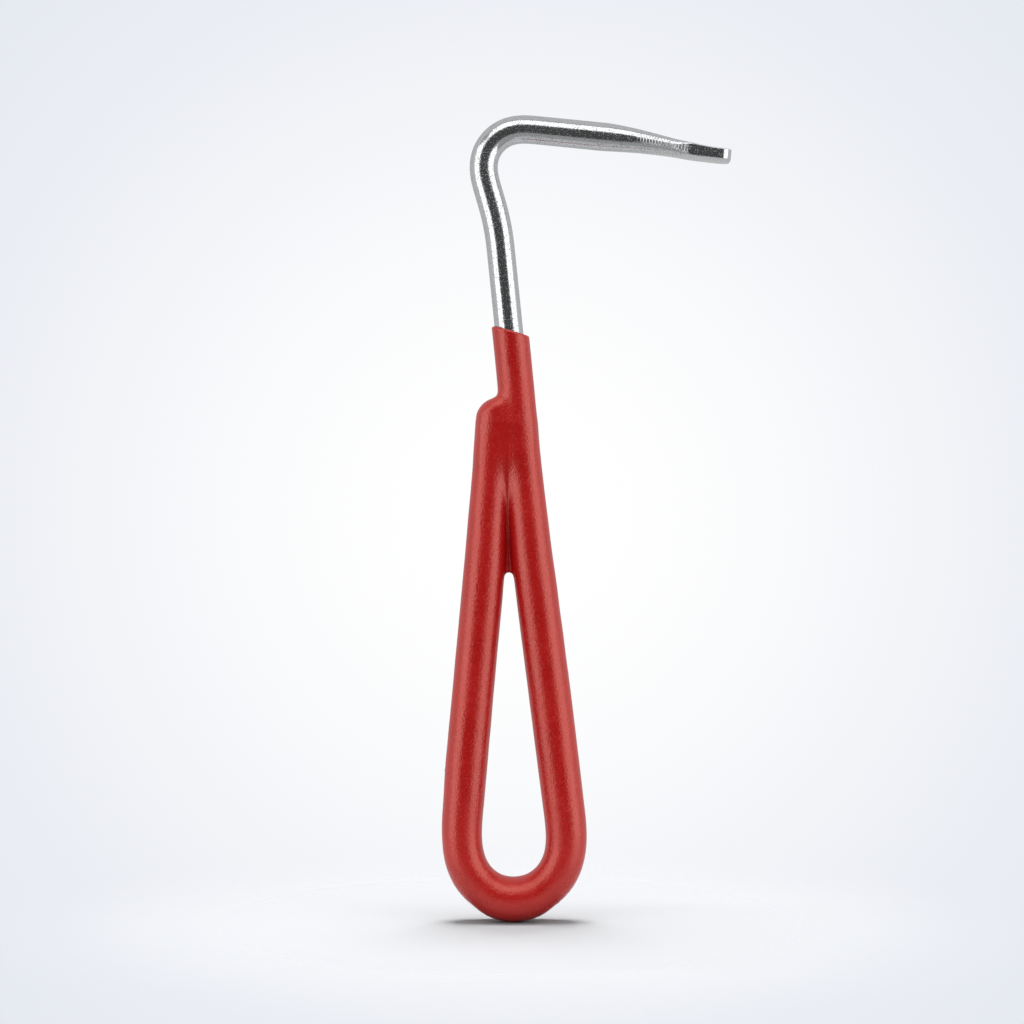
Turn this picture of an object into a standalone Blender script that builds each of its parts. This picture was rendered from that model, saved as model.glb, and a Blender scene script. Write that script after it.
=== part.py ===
"""Hoof pick: one bent and pressed steel rod, its loop closed by two weld beads and dipped in
soft PVC from the loop up to the lower shank. It stands upright in the XZ plane with the loop
at the bottom and the hook towards +X. The origin is under the middle of its bounding box."""

import math

import bmesh
import bpy
from mathutils import Vector

# Driving dimensions, in millimetres and degrees. Heights are above the bottom of the loop.
MM = 0.001
ROD_RADIUS = 3.0
CLEARANCE = 0.3

# The loop bend, and where the middle of its centreline lies.
LOOP_X = -15.53
LOOP_Z = 5.17
LOOP_RADIUS = 11.0
LOOP_EASE = 14.0

# From the loop up the right leg to the hook.
RIGHT_LEG_LEAN = 7.1
RIGHT_LEG_RUN = 53.6
RIGHT_LEG_CLOSING = 1.2
SHANK_RUN = 63.7
NECK_BEND = 10.5
NECK_RADIUS = 50.0
NECK_EASE = 4.0
NECK_RUN = 1.0
HOOK_BEND = 112.0
HOOK_RADIUS = 8.0
HOOK_EASE = 6.4
ARM_RUN = 41.8

# From the loop up the left leg to the free end, which is scarfed to lie along the shank.
LEFT_LEG_LEAN = 5.0
LEFT_LEG_RUN = 52.3
LEFT_LEG_CLOSING = 1.0
FREE_END_RUN = 31.2
FREE_END_CHAMFER = 0.8
SCARF_SECTIONS = (0.8, 3.0, 6.0, 10.0)
CLOSING_RADIUS = 60.0
CLOSING_EASE = 2.0

# The blade, pressed flat at the end of the arm. Distances are from its tip.
BLADE_WIDTH = 8.6
BLADE_THICKNESS = 2.35
BLADE_DROP = 1.6
BLADE_CORNER = 2.4
PRESS_BEGINS = 28.0
PRESS_FULL = 2.0
SQUARENESS = 9.0
DIE_BITE = 1.02
THINNING_POWER = 0.75
DROP_POWER = 1.3
CORNER_DEGREES = (0.0, 25.0, 50.0, 70.0, 90.0)
STATION_SPACING = 2.0

# The dipped skin: thin on the shank, thicker on the legs, pooled under the loop.
SLEEVE_RADIUS = 3.95
LEG_SKIN_RADIUS = 4.5
THICK_BELOW_Z = 70.0
THIN_ABOVE_Z = 100.0
POOL_TOP_Z = 8.5
POOL_DROP = 0.35
POOL_SWELL = 0.32
CAP_HEIGHT = 3.6
CAP_BEGINS = 0.7
CAP_DEGREES = (84.0, 66.0, 46.0, 24.0, 0.0)
COLLAR_Z = 127.8
COLLAR_TILT = 15.9
SLEEVE_OVERRUN = 4.0
CUTTER_SIZE = 20.0

# The skin's web that fills the narrow angle between the legs.
WEB_BOTTOM_Z = 75.8
WEB_BOTTOM_RADIUS = 1.8
WEB_FULL_Z = 101.0
WEB_FULL_RADIUS = 4.1
WEB_TOP_Z = 110.5
WEB_SECTIONS = 9

# The weld beads in the two valleys between the free end and the shank.
BEAD_RADIUS = 1.1
BEAD_DEPTH = 2.2
BEAD_BOTTOM_Z = 102.0
BEAD_TOP_Z = 110.0
BEAD_TAPER = (0.6, 0.95, 1.0, 0.95, 0.6)

# How finely the curves are cut up. A piece's bend is summed from thin slices.
DEGREES_A_PIECE = 9.0
SLICES_A_PIECE = 12
RUN_PIECE = 12.0
ROD_SIDES = 24
SKIN_BEVEL_RESOLUTION = 8

FINISHES = {
    "plated_steel": ((0.62, 0.63, 0.65), 1.0, 0.14),
    "weld_metal": ((0.30, 0.29, 0.28), 1.0, 0.45),
    "red_pvc": ((0.42, 0.02, 0.02), 0.0, 0.42),
}
Y_AXIS = Vector((0.0, 1.0, 0.0))


def clear_scene():
    for obj in list(bpy.data.objects):
        bpy.data.objects.remove(obj, do_unlink=True)


def new_collection(name):
    collection = bpy.data.collections.new(name)
    bpy.context.scene.collection.children.link(collection)
    return collection


def finish(name):
    """The Principled material of this name, made at its first use."""
    material = bpy.data.materials.get(name)
    if material is None:
        colour, metallic, roughness = FINISHES[name]
        material = bpy.data.materials.new(name)
        material.use_nodes = True
        shader = material.node_tree.nodes["Principled BSDF"]
        shader.inputs["Base Color"].default_value = (*colour, 1.0)
        shader.inputs["Metallic"].default_value = metallic
        shader.inputs["Roughness"].default_value = roughness
    return material


def smoothstep(value):
    value = min(max(value, 0.0), 1.0)
    return value * value * (3.0 - 2.0 * value)


def mix(first, second, share):
    return first + (second - first) * share


def form_wire(steps, side):
    """The centreline formed from the middle of the loop on one side, and each step's end.

    A step is ("run", length) or ("bend", degrees, radius, ease). A positive bend turns the
    wire on in the loop's sense. The first bend starts at its full curvature, and the others
    ease in and out."""
    place, heading = Vector((0.0, 0.0)), 0.0
    points, ends = [place.copy()], []
    for number, step in enumerate(steps):
        if step[0] == "run":
            length = step[1]
            pieces = max(1, round(length / RUN_PIECE))
        else:
            turn, radius, ease = math.radians(step[1]), step[2], step[3]
            length = abs(turn) * radius + (ease if number else ease / 2.0)
            pieces = max(3, math.ceil(abs(step[1]) / DEGREES_A_PIECE))
        stride = length / (pieces * SLICES_A_PIECE)
        for slices in range(pieces * SLICES_A_PIECE):
            turned = 0.0
            if step[0] == "bend":
                along = (slices + 0.5) * stride
                share = min(1.0, (length - along) / ease, along / ease if number else 1.0)
                turned = math.copysign(share * stride / radius, turn)
            middle = heading + turned / 2.0
            place = place + stride * Vector((math.cos(middle), math.sin(middle)))
            heading += turned
            if (slices + 1) % SLICES_A_PIECE == 0:
                points.append(place.copy())
        ends.append(place.copy())
    return [
        [Vector((LOOP_X + side * p.x, 0.0, LOOP_Z + p.y)) for p in found]
        for found in (points, ends)
    ]


def directions(points):
    """The unit tangent at each point of a centreline."""
    edges = [(after - before).normalized() for before, after in zip(points, points[1:])]
    pairs = zip([edges[0]] + edges, edges + [edges[-1]])
    return [(into + out).normalized() for into, out in pairs]


def mesh_object(name, mesh, collection, finish_name=None):
    obj = bpy.data.objects.new(name, mesh)
    collection.objects.link(obj)
    if finish_name:
        mesh.materials.clear()
        mesh.materials.append(finish(finish_name))
        mesh.shade_smooth()
        mesh.set_sharp_from_angle(angle=math.radians(35.0))
    else:
        obj.hide_render = True
        obj.display_type = "WIRE"
    return obj


def loft(rings):
    """A closed mesh through rings of points in millimetres, with a flat face at each end."""
    bm = bmesh.new()
    made = [[bm.verts.new(point * MM) for point in ring] for ring in rings]
    for lower, upper in zip(made, made[1:]):
        for i in range(len(lower)):
            j = (i + 1) % len(lower)
            bm.faces.new((lower[i], lower[j], upper[j], upper[i]))
    bm.faces.new(made[0][::-1])
    bm.faces.new(made[-1])
    bmesh.ops.recalc_face_normals(bm, faces=bm.faces)
    mesh = bpy.data.meshes.new("loft")
    bm.to_mesh(mesh)
    bm.free()
    return mesh


def tube(points, radii):
    """A closed mesh made from a beveled poly curve, with its caps welded on."""
    curve = bpy.data.curves.new("tube", "CURVE")
    curve.dimensions = "3D"
    curve.bevel_depth = MM
    curve.bevel_resolution = SKIN_BEVEL_RESOLUTION
    curve.use_fill_caps = True
    spline = curve.splines.new("POLY")
    spline.points.add(len(points) - 1)
    for knot, point, radius in zip(spline.points, points, radii):
        knot.co = (*(point * MM), 1.0)
        knot.radius = radius
    guide = bpy.data.objects.new("tube", curve)
    bpy.context.scene.collection.objects.link(guide)
    graph = bpy.context.evaluated_depsgraph_get()
    mesh = bpy.data.meshes.new_from_object(guide.evaluated_get(graph))
    bpy.data.objects.remove(guide, do_unlink=True)
    bpy.data.curves.remove(curve)
    bm = bmesh.new()
    bm.from_mesh(mesh)
    bmesh.ops.remove_doubles(bm, verts=bm.verts, dist=0.000001)
    bmesh.ops.recalc_face_normals(bm, faces=bm.faces)
    bm.to_mesh(mesh)
    bm.free()
    return mesh


def add_boolean(obj, operation, other, crosses_itself=False):
    """Joins or cuts with the exact solver; a tube that crosses itself needs saying."""
    modifier = obj.modifiers.new(f"{operation.lower()} {other.name}", "BOOLEAN")
    modifier.operation = operation
    modifier.object = other
    modifier.use_self = crosses_itself


def blade_stations():
    """Distances from the blade's tip at which its section is given, furthest first."""
    count = round((PRESS_BEGINS - BLADE_CORNER) / STATION_SPACING)
    taper = [mix(BLADE_CORNER, PRESS_BEGINS, i / count) for i in range(count, 0, -1)]
    return taper + [BLADE_CORNER * (1.0 - math.sin(math.radians(a))) for a in CORNER_DEGREES]


def superellipse(angle, power):
    """A point round a shape that goes from a circle to a rounded square."""
    across = math.copysign(abs(math.cos(angle)) ** power, math.cos(angle))
    up = math.copysign(abs(math.sin(angle)) ** power, math.sin(angle))
    return across, up


def blade_point(from_tip, angle):
    """Offset across and up at an angle round the arm, where the dies have flattened it."""
    pressed = 1.0 - smoothstep((from_tip - PRESS_FULL) / (PRESS_BEGINS - PRESS_FULL))
    half_width = mix(ROD_RADIUS, BLADE_WIDTH / 2.0, pressed)
    half_height = mix(ROD_RADIUS, BLADE_THICKNESS / 2.0, pressed**THINNING_POWER)
    if from_tip < BLADE_CORNER:
        inset = BLADE_CORNER - from_tip
        half_width -= BLADE_CORNER - math.sqrt(BLADE_CORNER**2 - inset**2)
    across, up = superellipse(angle, 2.0 / mix(2.0, SQUARENESS, pressed))
    bite = mix(1.0, DIE_BITE, pressed)
    across = min(max(across * bite, -1.0), 1.0) * half_width
    up = min(max(up * bite, -1.0), 1.0) * half_height
    return across, up - BLADE_DROP * pressed**DROP_POWER


def make_rod(wire, parts):
    """The rod, lofted from its scarfed free end to the tip of its pressed blade."""
    free_way = (wire["free foot"] - wire["free end"]).normalized()
    scarfed = [wire["free end"] + free_way * d for d in (0.0, *SCARF_SECTIONS)]
    clear_of_scarf = SCARF_SECTIONS[-1] + 1.0
    middle = [
        point
        for point in wire["line"][: wire["arm index"] + 1]
        if (point - wire["free end"]).length > clear_of_scarf
    ]
    arm = (wire["tip"] - wire["line"][wire["arm index"]]).normalized()
    blade = [wire["tip"] - arm * distance for distance in blade_stations()]
    line = scarfed + middle + blade

    # The scarf is a flat along the shank, on the side of the shank that faces the free end.
    outward = (wire["shank top"] - wire["shank foot"]).cross(Y_AXIS).normalized()
    outward *= math.copysign(1.0, outward.dot(wire["free end"] - wire["shank foot"]))
    rings = []
    for i, (centre, along) in enumerate(zip(line, directions(line))):
        up = along.cross(Y_AXIS)
        if i >= len(line) - len(blade):
            up *= math.copysign(1.0, up.z)
        radius = ROD_RADIUS - (FREE_END_CHAMFER if i == 0 else 0.0)
        ring = []
        for corner in range(ROD_SIDES):
            angle = math.tau * corner / ROD_SIDES
            across, rise = radius * math.cos(angle), radius * math.sin(angle)
            if i >= len(line) - len(blade):
                across, rise = blade_point((wire["tip"] - centre).dot(arm), angle)
            point = centre + Y_AXIS * across + up * rise
            if i < len(scarfed):
                clear = (point - wire["shank foot"]).dot(outward)
                point = point + outward * max(ROD_RADIUS + CLEARANCE - clear, 0.0)
            ring.append(point)
        rings.append(ring)
    return mesh_object("steel_rod", loft(rings), parts, "plated_steel")


def skin_radius(z):
    thinned = smoothstep((z - THICK_BELOW_Z) / (THIN_ABOVE_Z - THICK_BELOW_Z))
    return mix(LEG_SKIN_RADIUS, SLEEVE_RADIUS, thinned)


def make_skin(wire, parts):
    """The dip's outside: rounded over the free end, pooled at the bottom of the loop."""
    dipped = wire["dipped"]
    way_out = (wire["free end"] - wire["free foot"]).normalized()
    base = wire["free end"] - way_out * CAP_BEGINS
    points, radii = [], []
    for degrees in CAP_DEGREES:
        points.append(base + way_out * CAP_HEIGHT * math.sin(math.radians(degrees)))
        radii.append(skin_radius(base.z) * math.cos(math.radians(degrees)))
    for point in dipped[1:]:
        pooled = smoothstep((POOL_TOP_Z - point.z) / (POOL_TOP_Z - LOOP_Z))
        points.append(point - Vector((0.0, 0.0, POOL_DROP * pooled)))
        radii.append(skin_radius(point.z) + POOL_SWELL * pooled)
    return mesh_object("dipped_grip", tube(points, radii), parts, "red_pvc")


def at_height(foot, top, z):
    """The point of a straight line at this height."""
    return foot.lerp(top, (z - foot.z) / (top.z - foot.z))


def between_legs(wire, z):
    """The point half way from the shank to the free end at this height."""
    on_shank = at_height(wire["shank foot"], wire["shank top"], z)
    return (on_shank + at_height(wire["free foot"], wire["free end"], z)) / 2.0


def make_web(wire, cutters):
    """The plastic between the legs, thin at the top of the hole and flush at the weld."""
    points, radii = [], []
    for i in range(WEB_SECTIONS):
        z = mix(WEB_BOTTOM_Z, WEB_TOP_Z, i / (WEB_SECTIONS - 1))
        filled = smoothstep((z - WEB_BOTTOM_Z) / (WEB_FULL_Z - WEB_BOTTOM_Z))
        points.append(between_legs(wire, z))
        radii.append(mix(WEB_BOTTOM_RADIUS, WEB_FULL_RADIUS, filled))
    return mesh_object("web", tube(points, radii), cutters)


def make_rod_room(wire, name, cutters):
    """The rod's dipped length grown by the clearance, out through the collar."""
    way_out = (wire["free end"] - wire["free foot"]).normalized()
    line = [wire["free end"] + way_out * CLEARANCE] + wire["dipped"][1:-1]
    through = COLLAR_Z + 2.0 * SLEEVE_OVERRUN
    line.append(at_height(wire["shank foot"], wire["shank top"], through))
    radii = [ROD_RADIUS + CLEARANCE] * len(line)
    return mesh_object(name, tube(line, radii), cutters)


def make_weld_room(wire, cutters):
    ends = (BEAD_BOTTOM_Z - CLEARANCE, BEAD_TOP_Z + CLEARANCE)
    radius = BEAD_DEPTH + BEAD_RADIUS + CLEARANCE
    mesh = tube([between_legs(wire, z) for z in ends], [radius, radius])
    return mesh_object("weld_room", mesh, cutters)


def make_bead(wire, place, depth, parts, rod_room):
    """A bead laid in the valley between the free end and the shank."""
    last = len(BEAD_TAPER) - 1
    heights = [mix(BEAD_BOTTOM_Z, BEAD_TOP_Z, i / last) for i in range(last + 1)]
    seam = [between_legs(wire, z) + Y_AXIS * depth for z in heights]
    mesh = tube(seam, [BEAD_RADIUS * taper for taper in BEAD_TAPER])
    bead = mesh_object(f"weld_bead_{place}", mesh, parts, "weld_metal")
    add_boolean(bead, "DIFFERENCE", rod_room, crosses_itself=True)


def make_collar_cutter(wire, cutters):
    """A block whose tilted underside trims the top of the sleeve."""
    bpy.ops.mesh.primitive_cube_add(size=CUTTER_SIZE * MM)
    cutter = bpy.context.object
    cutter.name = "collar_cutter"
    for collection in cutter.users_collection:
        collection.objects.unlink(cutter)
    cutters.objects.link(cutter)
    cutter.hide_render = True
    cutter.display_type = "WIRE"
    cutter.rotation_euler.y = math.radians(COLLAR_TILT)
    lift = Vector((0.0, 0.0, CUTTER_SIZE / 2.0))
    lift.rotate(cutter.rotation_euler)
    on_axis = at_height(wire["shank foot"], wire["shank top"], COLLAR_Z)
    cutter.location = (on_axis + lift) * MM
    return cutter


def form_whole_wire():
    """The rod's centreline from its free end to its tip, and the places that matter on it."""
    right, right_ends = form_wire(
        (
            ("bend", 90.0 + RIGHT_LEG_LEAN, LOOP_RADIUS, LOOP_EASE),
            ("run", RIGHT_LEG_RUN),
            ("bend", -RIGHT_LEG_CLOSING, CLOSING_RADIUS, CLOSING_EASE),
            ("run", SHANK_RUN),
            ("bend", NECK_BEND, NECK_RADIUS, NECK_EASE),
            ("run", NECK_RUN),
            ("bend", -HOOK_BEND, HOOK_RADIUS, HOOK_EASE),
            ("run", ARM_RUN),
        ),
        1.0,
    )
    left, left_ends = form_wire(
        (
            ("bend", 90.0 + LEFT_LEG_LEAN, LOOP_RADIUS, LOOP_EASE),
            ("run", LEFT_LEG_RUN),
            ("bend", -LEFT_LEG_CLOSING, CLOSING_RADIUS, CLOSING_EASE),
            ("run", FREE_END_RUN),
        ),
        -1.0,
    )
    line = left[::-1] + right[1:]
    arm_start, tip = right_ends[-2:]
    _, _, shank_foot, shank_top = right_ends[:4]
    sleeve_end = at_height(shank_foot, shank_top, COLLAR_Z + SLEEVE_OVERRUN)
    dipped = [p for p in line if p.z < sleeve_end.z and p.x < sleeve_end.x + CUTTER_SIZE * 2.0]
    return {
        "line": line,
        "dipped": dipped + [sleeve_end],
        "arm index": line.index(arm_start),
        "tip": tip,
        "shank foot": shank_foot,
        "shank top": shank_top,
        "free foot": left_ends[2],
        "free end": left_ends[3],
    }


def main():
    clear_scene()
    parts = new_collection("hoof_pick")
    cutters = new_collection("cutters")
    wire = form_whole_wire()
    make_rod(wire, parts)

    grip = make_skin(wire, parts)
    add_boolean(grip, "UNION", make_web(wire, cutters), crosses_itself=True)
    hollow = make_rod_room(wire, "hollow", cutters)
    add_boolean(hollow, "UNION", make_weld_room(wire, cutters), crosses_itself=True)
    add_boolean(grip, "DIFFERENCE", hollow)
    add_boolean(grip, "DIFFERENCE", make_collar_cutter(wire, cutters))

    rod_room = make_rod_room(wire, "rod_room", cutters)
    make_bead(wire, "front", -BEAD_DEPTH, parts, rod_room)
    make_bead(wire, "back", BEAD_DEPTH, parts, rod_room)


main()
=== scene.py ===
import math

import bmesh
import bpy
import numpy as np
from mathutils import Euler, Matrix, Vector, noise


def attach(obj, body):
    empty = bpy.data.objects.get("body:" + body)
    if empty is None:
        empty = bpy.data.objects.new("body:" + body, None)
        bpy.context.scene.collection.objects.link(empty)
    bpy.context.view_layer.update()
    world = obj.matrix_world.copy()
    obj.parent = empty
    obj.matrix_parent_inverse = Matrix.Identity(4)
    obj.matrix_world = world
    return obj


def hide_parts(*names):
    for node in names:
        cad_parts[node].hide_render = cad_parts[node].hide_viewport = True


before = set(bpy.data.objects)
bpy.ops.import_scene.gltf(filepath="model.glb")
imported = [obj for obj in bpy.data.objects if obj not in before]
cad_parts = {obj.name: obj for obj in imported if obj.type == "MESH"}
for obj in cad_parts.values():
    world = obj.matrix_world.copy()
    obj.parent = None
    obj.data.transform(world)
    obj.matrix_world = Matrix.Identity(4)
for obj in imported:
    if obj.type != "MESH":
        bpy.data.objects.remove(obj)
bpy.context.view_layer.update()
BEADS = ("weld_bead_front", "weld_bead_back")

bl_info = {
    "name": "Hoof Pick",
    "version": (1, 0, 0),
    "blender": (4, 5, 0),
    "location": "View3D > Sidebar > Hoof Pick",
    "description": "Builds a bent wire hoof pick with a dipped grip on a small studio table",
    "category": "Object",
}

MM = 0.001
Y_AXIS = Vector((0.0, 1.0, 0.0))

# The centreline is summed in strides this long.
STRIDE = 0.05 * MM
STEEL_SLOT, WELD_SLOT, PVC_SLOT = "plated_steel", "weld_metal", "red_pvc"
# The unbent place of every point of the rod, kept on its mesh for the marks of drawing.
UNBENT = "unbent_place"


def length_property(name, description, default_mm):
    return bpy.props.FloatProperty(
        name=name, description=description, default=default_mm * MM, unit="LENGTH", precision=5
    )


def angle_property(name, description, degrees):
    return bpy.props.FloatProperty(
        name=name, description=description, default=math.radians(degrees), subtype="ANGLE"
    )


def colour_property(name, description, colour):
    return bpy.props.FloatVectorProperty(
        name=name, description=description, default=colour, subtype="COLOR", min=0.0, max=1.0
    )


class WireSettings(bpy.types.PropertyGroup):
    """The runs and bends of the rod, both ways from the middle of the loop."""

    rod_radius: length_property("Rod Radius", "Radius of the drawn rod", 3.05)
    loop_x: length_property("Loop Across", "Where the middle of the loop is, across", -15.53)
    loop_z: length_property("Loop Height", "Height of the rod's centre under the loop", 5.17)
    loop_radius: length_property("Loop Radius", "Bend radius of the loop", 11.0)
    loop_ease: length_property("Loop Ease", "Length over which the loop's bend fades out", 14.0)
    shank_lean: angle_property("Shank Leg Lean", "Bend past upright on the shank's side", 7.1)
    shank_leg: length_property("Shank Leg", "Straight of the loop on the shank's side", 53.6)
    shank_closing: angle_property("Shank Closing", "Small bend where the legs meet", 1.2)
    shank: length_property("Shank", "Straight length up to the neck", 63.7)
    neck_bend: angle_property("Neck Bend", "How far the neck leans back", 10.5)
    neck_radius: length_property("Neck Radius", "Bend radius of the neck", 50.0)
    neck_ease: length_property("Neck Ease", "Length over which the neck's bend fades", 4.0)
    neck: length_property("Neck", "Straight between the neck's bend and the hook's", 1.0)
    hook_bend: angle_property("Hook Bend", "How far the hook turns", 112.0)
    hook_radius: length_property("Hook Radius", "Bend radius of the hook", 8.0)
    hook_ease: length_property("Hook Ease", "Length over which the hook's bend fades", 6.4)
    arm: length_property("Arm", "Straight length of the hook's arm with its blade", 41.8)
    free_lean: angle_property("Free Leg Lean", "Bend past upright on the free side", 5.0)
    free_leg: length_property("Free Leg", "Straight of the loop on the free side", 52.3)
    free_closing: angle_property("Free Closing", "Small bend where the legs meet", 1.0)
    free_run: length_property("Free Run", "Length of the free end beside the shank", 31.2)
    closing_radius: length_property("Closing Radius", "Radius of the two small bends", 60.0)
    closing_ease: length_property("Closing Ease", "Length over which they fade", 2.0)


class BladeSettings(bpy.types.PropertyGroup):
    """The end of the arm, pressed flat between dies."""

    width: length_property("Width", "Width of the blade", 8.6)
    thickness: length_property("Thickness", "Thickness of the blade", 2.35)
    drop: length_property("Drop", "How far the blade sits below the arm's middle", 1.6)
    corner: length_property("Corner", "Radius of the blade's corners in plan", 2.4)
    edge: length_property("Edge", "Radius along the blade's edges", 0.25)
    press_begins: length_property("Press Begins", "Distance from the tip where it begins", 28.0)
    press_full: length_property("Press Full", "Distance from the tip where it is complete", 2.0)
    trim_begins: length_property("Trim Begins", "Distance from the tip where it begins", 13.0)
    trim_full: length_property("Trim Full", "Distance from the tip where flanks are square", 7.5)
    mark_begins: length_property("Mark Begins", "Distance from the tip of the first mark", 25.0)
    mark_ends: length_property("Mark Ends", "Distance from the tip of the last mark", 8.7)
    mark_pitch: length_property("Mark Pitch", "Spacing of the die's marks on the flanks", 0.64)
    mark_depth: length_property("Mark Depth", "Depth of the die's marks", 0.045)


class GripSettings(bpy.types.PropertyGroup):
    """The plastic skin that the loop is dipped in."""

    pool_swell: length_property("Pool Swell", "Gain of radius under the loop", 0.38)
    pool_drop: length_property("Pool Drop", "How far the plastic sags under the loop", 0.32)
    pool_top: length_property("Pool Top", "Height at which the pooling ends", 7.3)
    cap_height: length_property("Cap Height", "Plastic standing past the free end", 3.6)
    collar_height: length_property("Collar Height", "Height of the collar on the axis", 127.93)
    collar_tilt: angle_property("Collar Tilt", "Slant of the collar's edge", 13.8)
    cap_corner: length_property("Cap Corner", "Rounding of the plastic over the free end", 2.55)
    cap_top: length_property("Cap Top", "Height of the plastic over the free end", 113.4)
    cap_tilt: angle_property("Cap Tilt", "Slope of that plastic up to the sleeve", 19.0)
    web_bottom: length_property("Web Bottom", "Height of the top of the hole", 75.6)
    web_full: length_property("Web Full", "Height where the web is flush", 103.0)
    web_top: length_property("Web Top", "Height where the web ends", 108.0)
    voxel: length_property("Voxel", "Fineness of the fused skin", 0.2)


class FinishSettings(bpy.types.PropertyGroup):
    """Colours of the finishes."""

    steel: colour_property("Steel", "Bright nickel plate", (0.51, 0.52, 0.53))
    steel_pits: colour_property("Steel Pits", "Dull specks in the plate", (0.36, 0.36, 0.37))
    pvc: colour_property("PVC", "Body colour of the dip", (0.395, 0.0015, 0.0025))
    pvc_deep: colour_property("PVC Deep", "Darker patches of the dip", (0.36, 0.001, 0.002))
    pvc_bloom: colour_property("PVC Bloom", "Pale specks in the dip", (0.45, 0.009, 0.009))
    pvc_gloss: colour_property("PVC Gloss", "Tint of the dip's gloss", (1.0, 0.46, 0.385))
    weld: colour_property("Weld", "Scaled weld metal", (0.16, 0.15, 0.145))


class StageSettings(bpy.types.PropertyGroup):
    """The table, the lights and the camera."""

    floor: colour_property("Floor", "Colour of the table", (0.22, 0.2235, 0.2305))
    # The backdrop's pale middle and its darker, bluer outer colour are a painted pool of light, not
    # the backdrop's own colour.
    backdrop: colour_property("Backdrop", "Colour behind the pick", (1.0, 1.0, 1.0))
    backdrop_shaded_edge: colour_property("Backdrop Edge", "Colour further out", (0.79, 0.815, 0.88))
    floor_radius: length_property("Floor Radius", "Where the table has faded out", 120.0)
    camera_distance: length_property("Camera Distance", "From the pick's plane", 560.0)
    camera_x: length_property("Camera Across", "Camera's place across", -15.9)
    camera_z: length_property("Camera Height", "Camera's height", 88.7)
    field_width: length_property("Field Width", "Width seen at the pick", 221.8)


def smoothstep(x):
    x = np.clip(x, 0.0, 1.0)
    return x * x * (3.0 - 2.0 * x)


def mix(a, b, share):
    return a + (b - a) * share


# ---------------------------------------------------------------- the wire's path


def run(length):
    """A straight step: its length, and no turn."""
    return length, 0.0, 1.0, 0.0


def bend(turn, radius, ease, starts_mid_bend=False):
    """An eased bend: its length, turn, radius and the length over which it fades in and out."""
    length = abs(turn) * radius + (ease / 2.0 if starts_mid_bend else ease)
    return length, turn, radius, ease


def half_wire(steps):
    """Distance, place across, height and heading along one half, and where its steps end."""
    lengths, curvatures, ends = [], [], []
    for number, (length, turn, radius, ease) in enumerate(steps):
        count = math.ceil(length / STRIDE)
        along = (np.arange(count) + 0.5) * length / count
        if turn:
            # The first bend is cut in the middle of the loop, so it begins at full curvature.
            fade_in = along / ease if number else np.ones(count)
            share = np.minimum(1.0, np.minimum((length - along) / ease, fade_in))
            curvatures.append(math.copysign(1.0, turn) * share / radius)
        else:
            curvatures.append(np.zeros(count))
        lengths.append(np.full(count, length / count))
        ends.append(sum(step[0] for step in steps[: number + 1]))
    lengths, curvatures = np.concatenate(lengths), np.concatenate(curvatures)
    turned = np.cumsum(curvatures * lengths)
    middle = turned - curvatures * lengths / 2.0
    distance, across, up, heading = (
        np.concatenate(([0.0], found))
        for found in (
            np.cumsum(lengths),
            np.cumsum(lengths * np.cos(middle)),
            np.cumsum(lengths * np.sin(middle)),
            turned,
        )
    )
    return distance, across, up, heading, ends


class Wire:
    """The rod's centreline, measured from the middle of the loop: minus to the free end."""

    def __init__(self, s):
        shank_side = (
            bend(math.pi / 2.0 + s.shank_lean, s.loop_radius, s.loop_ease, True),
            run(s.shank_leg),
            bend(-s.shank_closing, s.closing_radius, s.closing_ease),
            run(s.shank),
            bend(s.neck_bend, s.neck_radius, s.neck_ease),
            run(s.neck),
            bend(-s.hook_bend, s.hook_radius, s.hook_ease),
            run(s.arm),
        )
        free_side = (
            bend(math.pi / 2.0 + s.free_lean, s.loop_radius, s.loop_ease, True),
            run(s.free_leg),
            bend(-s.free_closing, s.closing_radius, s.closing_ease),
            run(s.free_run),
        )
        right = half_wire(shank_side)
        left = half_wire(free_side)
        self.distance = np.concatenate((-left[0][:0:-1], right[0]))
        self.across = np.concatenate((-left[1][:0:-1], right[1])) + s.loop_x
        self.height = np.concatenate((left[2][:0:-1], right[2])) + s.loop_z
        self.angle = np.concatenate((-left[3][:0:-1], right[3]))
        # Past this distance, on either side, the loop's bend is over and the leg is straight.
        self.leg = max(right[4][0], left[4][0])
        self.free_end = -left[4][-1]
        self.free_foot = -left[4][2]
        self.shank_foot, self.shank_top = right[4][2], right[4][3]
        self.tip = right[4][-1]

    def at(self, distance):
        """The place on the centreline, and the unit vectors along it and square to it."""
        x = float(np.interp(distance, self.distance, self.across))
        z = float(np.interp(distance, self.distance, self.height))
        a = float(np.interp(distance, self.distance, self.angle))
        along = Vector((math.cos(a), 0.0, math.sin(a)))
        return Vector((x, 0.0, z)), along, Vector((-along.z, 0.0, along.x))

    def on_line(self, start, end, z):
        """The point at height z of the straight line through two distances."""
        a, b = self.at(start)[0], self.at(end)[0]
        return a.lerp(b, (z - a.z) / (b.z - a.z))

    def on_shank(self, z):
        return self.on_line(self.shank_foot, self.shank_top, z)

    def on_free_end(self, z):
        return self.on_line(self.free_foot, self.free_end, z)


# ---------------------------------------------------------------- meshes


def loft(rings):
    """A closed mesh through rings of equal counts, with a face over each end."""
    mesh = bmesh.new()
    rows = [[mesh.verts.new(point) for point in ring] for ring in rings]
    count = len(rows[0])
    for low, high in zip(rows, rows[1:]):
        for i in range(count):
            j = (i + 1) % count
            mesh.faces.new((low[i], low[j], high[j], high[i]))
    mesh.faces.new(rows[0][::-1])
    mesh.faces.new(rows[-1])
    bmesh.ops.recalc_face_normals(mesh, faces=mesh.faces[:])
    return mesh


def new_object(name, mesh, material=None):
    data = bpy.data.meshes.new(name)
    mesh.to_mesh(data)
    mesh.free()
    data.shade_smooth()
    piece = bpy.data.objects.new(name, data)
    bpy.context.scene.collection.objects.link(piece)
    if material:
        data.materials.append(material)
    return piece


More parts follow.
